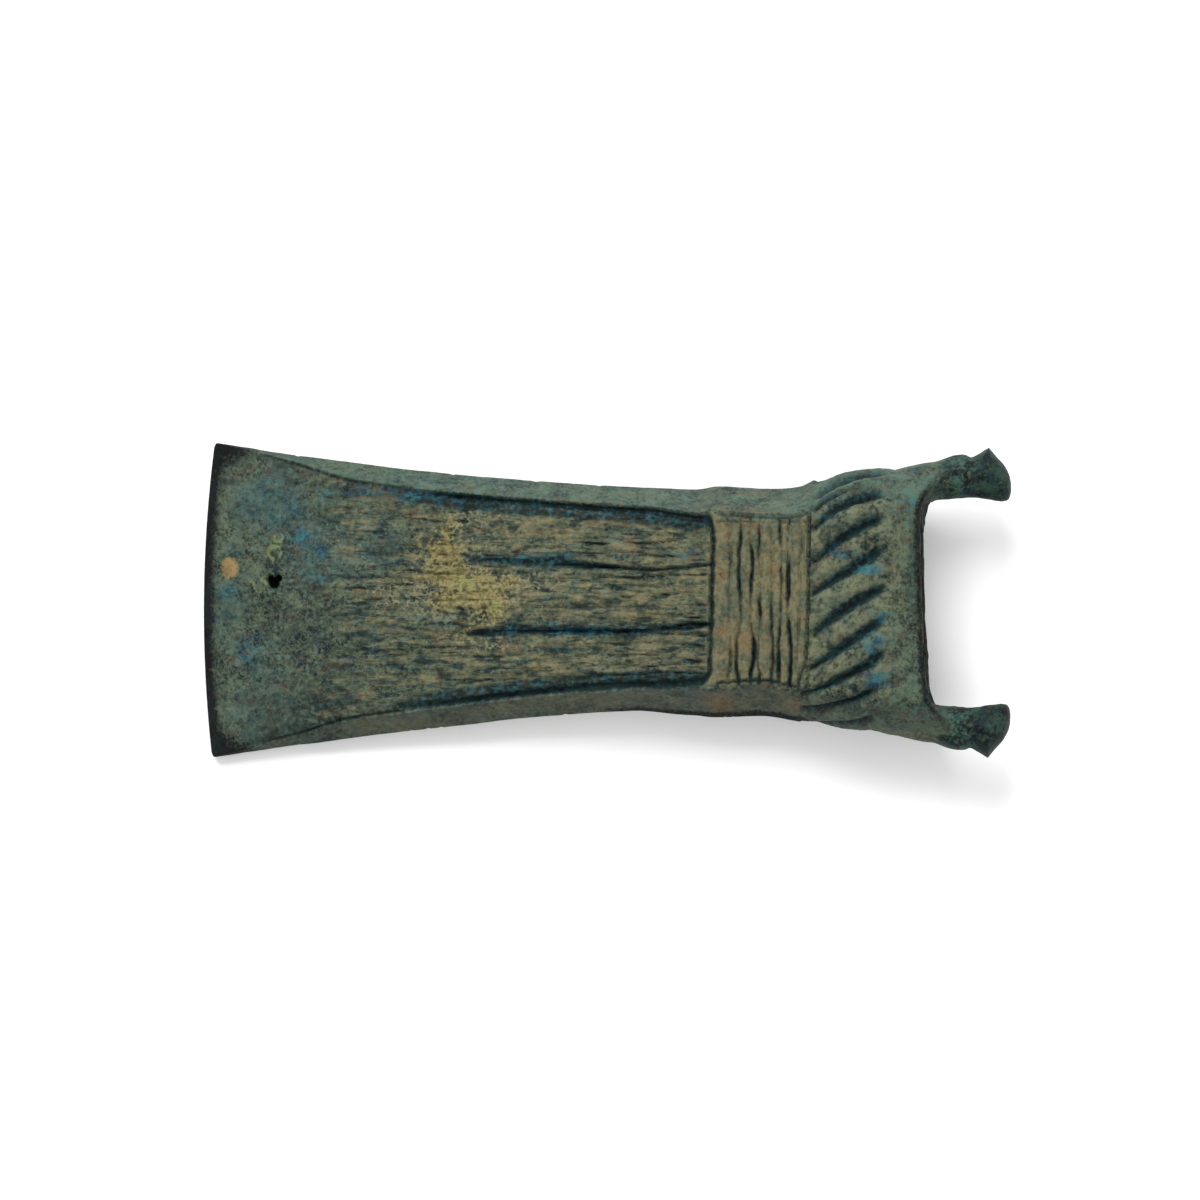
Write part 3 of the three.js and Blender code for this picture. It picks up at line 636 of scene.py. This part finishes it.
class Wire:
    """A value or a colour on its way through the patina's nodes."""

    def __init__(self, socket):
        self.socket = socket

    @staticmethod
    def node(kind, settings, inputs, out=0):
        """The output of a new node: its settings are made first, then its sockets are filled or linked."""
        made = patina.node_tree.nodes.new("ShaderNode" + kind)
        for name, value in settings.items():
            setattr(made, name, value)
        for name, value in inputs.items():
            Wire.feed(value, made.inputs[name])
        return Wire(made.outputs[out])

    @staticmethod
    def feed(value, socket):
        if isinstance(value, Wire):
            patina.node_tree.links.new(value.socket, socket)
        else:
            socket.default_value = value

    @staticmethod
    def blend(share, one, other):
        return Wire.node("Mix", {"data_type": "RGBA"}, {0: share, 6: one, 7: other}, out=2)

    def maths(self, operation, *others, clamp=False):
        settings = {"operation": operation, "use_clamp": clamp}
        return Wire.node("Math", settings, dict(enumerate((self, *others))))

    def __add__(self, other):
        return self.maths("ADD", other)

    def __sub__(self, other):
        return self.maths("SUBTRACT", other)

    def __rsub__(self, other):
        return self.maths("MULTIPLY_ADD", -1, other)

    def __mul__(self, other):
        return self.maths("MULTIPLY", other)

    def __abs__(self):
        return self.maths("ABSOLUTE")

    __radd__ = __add__
    __rmul__ = __mul__

    def clamped(self):
        return self.maths("ADD", 0, clamp=True)

    def between(self, low, high):
        """0 below low and 1 above high, with a soft step between them."""
        return Wire.node("MapRange", {"interpolation_type": "SMOOTHSTEP"}, {0: self, 1: low, 2: high})

    def stretched(self, x, y, z):
        return Wire.node("VectorMath", {"operation": "MULTIPLY"}, {0: self, 1: (x, y, z)})

    def under(self, share, tone):
        """This colour with a share of another laid over it."""
        return Wire.blend(share, self, tone)


def pigment(red, green, blue):
    """A pigment from its shades on a colour chart, 0 to 255."""
    return (*(PIGMENT_DEPTH * (shade / 255) ** 2.2 for shade in (red, green, blue)), 1)


def mottled(mask, dark, light):
    """A dark pigment that goes over to a light one where the mask is high."""
    return Wire.blend(mask, pigment(*dark), pigment(*light))


place = Wire.node("TexCoord", {}, {}, out="Object").stretched(1 / MM, 1 / MM, 1 / MM)


def clouds(x, y, z, detail=2, rough=0.5, seed=0.0):
    """Cloudy noise from about 0.2 to 0.8, whose clouds are that many millimetres in size."""
    return Wire.node("TexNoise", {"noise_dimensions": "4D"},
                     {"Vector": place.stretched(1 / x, 1 / y, 1 / z), "W": seed, "Scale": 1, "Detail": detail,
                      "Roughness": rough})


def mark(name):
    return Wire.node("Attribute", {"attribute_name": name}, {}, out="Fac")


fine = clouds(0.55, 0.55, 0.55, detail=3, rough=0.65)
speck = clouds(0.9, 0.9, 0.9, detail=2, seed=4.2)
patch = clouds(2.8, 2.8, 2.8, detail=3, seed=1.3)
broad = clouds(10, 10, 10, detail=2, seed=9.1)


def crumbled(mask, by_patch=0.0, by_speck=0.0, by_fine=0.0):
    """A mask whose border is broken up by the clouds of each size."""
    for pattern, strength in ((patch, by_patch), (speck, by_speck), (fine, by_fine)):
        if strength:
            mask = mask + (pattern - 0.5) * strength
    return mask


# The mineral ground: slate and grey-green, mottled, with pale threads, specks of olive and umber, and
# drifts of blue-green.
ground = (fine + patch * 1.1 + speck * 0.6 + broad * 0.5).between(1.3, 1.92)
colour = mottled(ground, (26, 42, 43), (104, 120, 97))
threads = abs(clouds(0.8, 0.8, 0.8, detail=2, seed=21.5) - 0.5)
colour = colour.under((1 - threads.between(0.005, 0.05)) * 0.35, pigment(128, 136, 112))
olive = clouds(1.1, 1.1, 1.1, detail=2, seed=12.6).between(0.58, 0.7)
colour = colour.under(olive * 0.45, pigment(112, 120, 74))
umber = clouds(2.4, 2.4, 2.4, detail=3, rough=0.6, seed=15.2).between(0.53, 0.68)
colour = colour.under(umber * 0.55, pigment(92, 78, 64))
slate = clouds(3.2, 3.2, 3.2, detail=3, rough=0.6, seed=51.8).between(0.5, 0.66)
colour = colour.under(slate * 0.55, mottled(fine.between(0.4, 0.6), (30, 50, 54), (70, 94, 94)))
drift = (broad * 1.1 + patch * 1.1 + fine * 0.5 + mark("haze") * 0.5).between(1.38, 1.85)
colour = colour.under(drift * 0.5, pigment(42, 84, 94))
shade = crumbled(mark("shade"), by_patch=1, by_fine=0.7).between(0.15, 0.8)
colour = colour.under(shade * 0.75, mottled(speck.between(0.4, 0.62), (20, 30, 31), (46, 62, 58)))

# The crust: tan minerals streaked along the carved grain and across the cords, dimmer and paler in
# patches, with blue-black streaks where it is missing and ochre and a pale lace where it is thickest.
wood = mark("wood")
cord_zone = mark("cords")
hollow = mark("hollow")
wood_grain = clouds(7, 0.85, 0.85, detail=3, rough=0.6, seed=2.7)
cord_grain = clouds(0.5, 5, 5, detail=3, rough=0.6, seed=6.4)
ribbing = clouds(20, 1.5, 1.5, detail=2, rough=0.6, seed=8.3)
texture = wood_grain * wood + (cord_grain * 0.7 + 0.15) * cord_zone
texture = texture + (patch * 0.55 + speck * 0.45) * (1 - wood - cord_zone)
crust = texture * 2.4 + fine * 0.7 + mark("crust") * 0.95 - hollow * 0.5 + (ribbing - 0.5) * wood * 2
crust = crust.between(1.75, 2.45)
tan = mottled((patch * 0.6 + speck * 0.4).between(0.4, 0.6), (99, 108, 86), (142, 132, 98))
colour = colour.under(crust * 0.85, tan.under(umber * 0.7, pigment(126, 102, 74)))
dim = crumbled(clouds(5.5, 2.4, 2.4, detail=3, rough=0.65, seed=83.4), by_fine=0.35).between(0.5, 0.62)
dim_tone = mottled(speck.between(0.4, 0.6), (34, 46, 44), (58, 74, 66))
colour = colour.under(dim * (1 - cord_zone * 0.6) * 0.5, dim_tone)
pale = crumbled(clouds(4.5, 2, 2, detail=3, rough=0.65, seed=97.1), by_fine=0.35).between(0.52, 0.64)
colour = colour.under(pale * (0.25 + wood * 0.25), pigment(122, 124, 100))
streaks = (clouds(5, 1.2, 1.2, detail=2, rough=0.6, seed=31.2) + fine * 0.2).between(0.63, 0.74)
streak_tone = mottled(speck.between(0.45, 0.6), (22, 36, 38), (24, 60, 70))
colour = colour.under(streaks * wood * 0.75, streak_tone)
ochre = crumbled(mark("ochre") * 1.1, by_patch=2.2, by_speck=1.6, by_fine=1.8).between(0.3, 1)
ochre_tone = mottled((speck * 0.5 + fine * 0.5).between(0.4, 0.58), (110, 108, 70), (164, 148, 96))
colour = colour.under(ochre * (mark("ochre") * 4).clamped() * 0.85, ochre_tone)
veins = abs(clouds(1.7, 1.7, 1.7, detail=1, rough=0.6, seed=3.9) - 0.5)
lace = (1 - veins.between(0.012, 0.045)) * crumbled(mark("lace"), by_speck=2.2).between(0.35, 0.75)
colour = colour.under(lace * 0.7, pigment(150, 146, 114))

# The sides of the casting: smoother than the faces, with long tan and blue clouds, greyer on one side and
# greener on the other. The greener +Y side faces the window light and is painted lighter too: partly the
# patina's hue, partly painted light.
side = mark("side")
# Painted light: the share of the side that faces the window (+Y), which gets the lighter, greener tone.
lit_side_share = Wire.node("SeparateXYZ", {}, {"Vector": place}, out=1).between(-8, 8)
side_tone = mottled(lit_side_share, (84, 87, 77), (90, 116, 104))
side_tan = clouds(11, 2.6, 2.6, detail=3, seed=61.3).between(0.48, 0.62)
side_tone = side_tone.under(side_tan * 0.7, pigment(98, 96, 78))
side_blue = clouds(10, 2.6, 2.6, detail=3, seed=71.9).between(0.52, 0.66)
side_tone = side_tone.under(side_blue * 0.7, pigment(58, 82, 92))
side_tone = side_tone.under(fine.between(0.55, 0.7) * 0.2, pigment(40, 54, 52))
colour = colour.under(side * crumbled(0.5, by_patch=1.5, by_fine=0.8).clamped(), side_tone)

# The blooms: verdigris on the collar, lime rings, rust and one round tan spot.
verdigris = mark("collar") * (speck * 0.35 + patch * 0.65).between(0.46, 0.6)
colour = colour.under(verdigris * 0.28, pigment(84, 124, 108))
lime = crumbled(mark("lime"), by_speck=3).between(0.6, 1.1)
colour = colour.under(lime * 0.5, pigment(144, 154, 94))
rust = crumbled(mark("rust"), by_patch=1.4, by_fine=1.5).between(0.3, 0.75)
colour = colour.under(rust * 0.55, pigment(126, 100, 68))
tan_tone = mottled(patch.between(0.35, 0.65), (132, 110, 74), (166, 140, 94))
colour = colour.under(crumbled(mark("tan"), by_fine=0.9).between(0.3, 0.6), tan_tone)

# The hollows are blue-black, stained blue round them, with blue and turquoise blooms over all.
stained = crumbled(mark("stain") * 1.5, by_patch=0.8, by_fine=0.8).between(0.15, 0.75)
colour = colour.under(stained * 0.8, mottled(speck.between(0.42, 0.62), (20, 34, 38), (30, 76, 86)))
deep = crumbled(hollow, by_patch=0.8, by_fine=1.4).between(0.3, 1)
deep_tone = mottled((patch * 0.7 + fine * 0.3).between(0.42, 0.6), (14, 19, 15), (28, 50, 50))
colour = colour.under(deep * 0.92, deep_tone)
blue = (speck * 1.6 + fine * 0.9 + mark("blue") * 0.5).between(1.42, 1.78)
blue_tone = mottled((patch * 0.6 + fine * 0.4).between(0.42, 0.58), (16, 68, 98), (56, 120, 128))
colour = colour.under(blue * (1 - hollow * 0.4) * 0.75, blue_tone)

# The cutting edge is dark, and the same dark colour paints shade round the lip's rim and along the lower
# side by the parting line; the horns are dark too towards their ends, the socket holds soil and the deep
# pore is black.
dark_edge_and_painted_shade = crumbled(mark("edge") * 1.25, by_patch=1.4, by_fine=2.4).between(0.25, 1.05)
colour = colour.under(dark_edge_and_painted_shade * 0.97, mottled(patch.between(0.4, 0.6), (6, 8, 9), (20, 27, 30)))
horn = mark("horn")
horn_mottle = (fine * 0.45 + patch * 0.6 + speck * 0.15).between(0.52, 0.7)
horn_tone = mottled(horn_mottle, (10, 20, 22), (72, 104, 90))
horn_tone = horn_tone.under((speck * 0.7 + fine * 0.3).between(0.56, 0.66) * 0.5, pigment(116, 112, 74))
horn_tone = horn_tone.under(slate * 0.5, pigment(22, 56, 72))
horn_tone = horn_tone.under(mark("tip") * (0.75 - patch * 0.5), pigment(16, 24, 26))
colour = colour.under(horn, horn_tone)
colour = colour.under(mark("soil"), pigment(58, 50, 38))
dust = 1 - (fine * 0.6 + speck * 0.5).between(0.46, 0.64)
colour = colour.under(dust * 0.17, pigment(16, 26, 26))
colour = colour.under(mark("pit").between(0.25, 0.6), pigment(4, 6, 6))

# The finish: dull all over, a little duller on the crust, with a fine relief of grains that is fainter on
# the sides.
RELIEF_DEPTH = 0.27
Wire.feed(colour, surface.inputs["Base Color"])
Wire.feed(0.58 + crust * 0.2 + fine * 0.2 - horn * 0.1, surface.inputs["Roughness"])
surface.inputs["Specular IOR Level"].default_value = SHINE
relief = fine * 0.6 + speck * 0.4 + wood_grain * wood * 1.2 + cord_grain * cord_zone * 0.9 + crust * 0.25
relief = relief * (1 - side * 0.5)
bump = Wire.node("Bump", {}, {"Strength": 0.9, "Distance": RELIEF_DEPTH * MM, "Height": relief}, out="Normal")
Wire.feed(bump, surface.inputs["Normal"])

# The stand: a plain, pale paper floor just under the axe, a large soft light from the far side, a weaker
# one from the near side and an even pale sky.
FLOOR_SIZE = 6
FLOOR_DROP = 0.2
SKY_STRENGTH = 0.73
LIGHTS = (("window", (-0.4, 1.1, 1.1), 1.0, 30), ("fill", (0.4, -0.8, 1.3), 1.2, 6))
bpy.ops.object.select_all(action="DESELECT")
bpy.ops.mesh.primitive_plane_add(size=FLOOR_SIZE, location=(0, 0, -FLOOR_DROP * MM))
floor = bpy.context.object
floor.name = "floor"
paper = bpy.data.materials.new("pale_floor")
paper.use_nodes = True
paper.node_tree.nodes["Principled BSDF"].inputs["Base Color"].default_value = (0.95, 0.95, 0.95, 1)
paper.node_tree.nodes["Principled BSDF"].inputs["Roughness"].default_value = 0.9
floor.data.materials.append(paper)
for name, stand, size, power in LIGHTS:
    light = bpy.data.objects.new(name, bpy.data.lights.new(name, "AREA"))
    bpy.context.scene.collection.objects.link(light)
    light.data.size = size
    light.data.energy = power
    light.location = stand
    light.rotation_euler = (-Vector(stand)).to_track_quat("-Z", "Y").to_euler()
sky = bpy.data.worlds.new("pale_sky")
sky.use_nodes = True
sky.node_tree.nodes["Background"].inputs["Color"].default_value = (1, 1, 1, 1)
sky.node_tree.nodes["Background"].inputs["Strength"].default_value = SKY_STRENGTH
bpy.context.scene.world = sky
bpy.context.scene.view_settings.view_transform = "Standard"

# The camera: a long lens that looks almost straight down, leaning to the side whose slope shows. The
# picture is given by the size of its pixels, and by the pixels from the axe's middle to the picture's.
PIXEL = 0.1848 * MM
PICTURE_PIXELS = 1200
ACROSS_PIXELS = -5.6
UP_PIXELS = 0.5
MIDDLE_HEIGHT = 11
LENS = 200
SENSOR = 36
NEAR = 0.01
ELEVATION = math.radians(87.5)
PICTURE_TURN = math.radians(0.35)
distance = PICTURE_PIXELS * PIXEL * LENS / SENSOR
middle = Vector((ACROSS_PIXELS * PIXEL, UP_PIXELS * PIXEL, MIDDLE_HEIGHT * MM))
back = Vector((0, -math.cos(ELEVATION), math.sin(ELEVATION)))
camera = bpy.data.objects.new("camera", bpy.data.cameras.new("camera"))
bpy.context.scene.collection.objects.link(camera)
camera.data.lens = LENS
camera.data.sensor_width = SENSOR
camera.data.clip_start = NEAR
camera.location = middle + back * distance
turn = Matrix.Rotation(PICTURE_TURN, 4, back)
camera.rotation_euler = (turn @ back.to_track_quat("Z", "Y").to_matrix().to_4x4()).to_euler()
bpy.context.scene.camera = camera
